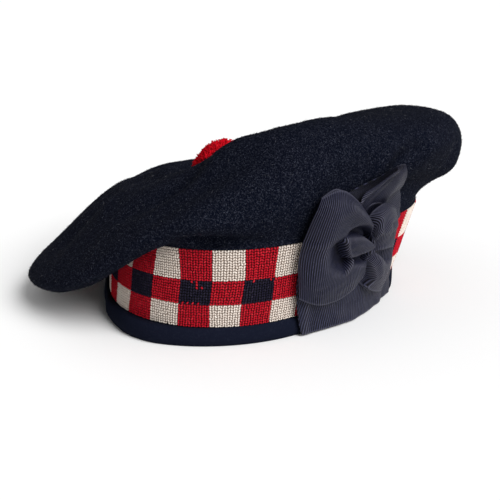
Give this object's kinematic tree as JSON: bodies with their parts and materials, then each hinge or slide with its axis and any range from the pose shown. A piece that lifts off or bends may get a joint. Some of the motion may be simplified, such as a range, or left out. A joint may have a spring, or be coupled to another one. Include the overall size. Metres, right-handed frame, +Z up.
{
  "type": "balmoral bonnet",
  "caption": "Soft felted balmoral bonnet: drooping crown on a diced knitted band with a bound edge, a red toorie on top and a black ribbon cockade at the wearer's left.",
  "frame": {"origin": "on the surface that the bonnet rests on, under the middle of its outline seen from above", "axes": "+Z up, -Y towards the wearer's front, +X towards the wearer's left"},
  "size_m": [0.2556, 0.2586, 0.118],
  "materials": {
    "crown": "felted wool, very dark navy",
    "diced_band": "knitted wool, red, white and navy dicing",
    "edge_band": "plain dark binding",
    "toorie": "red wool yarn",
    "cockade_backing": "black ribbed ribbon",
    "cockade_bow": "black ribbed ribbon"
  },
  "bodies": {
    "root": {"crown": "crown", "diced_band": "diced_band", "edge_band": "edge_band", "toorie": "toorie", "cockade_backing": "cockade_backing", "cockade_bow": "cockade_bow"}
  },
  "joints": []
}
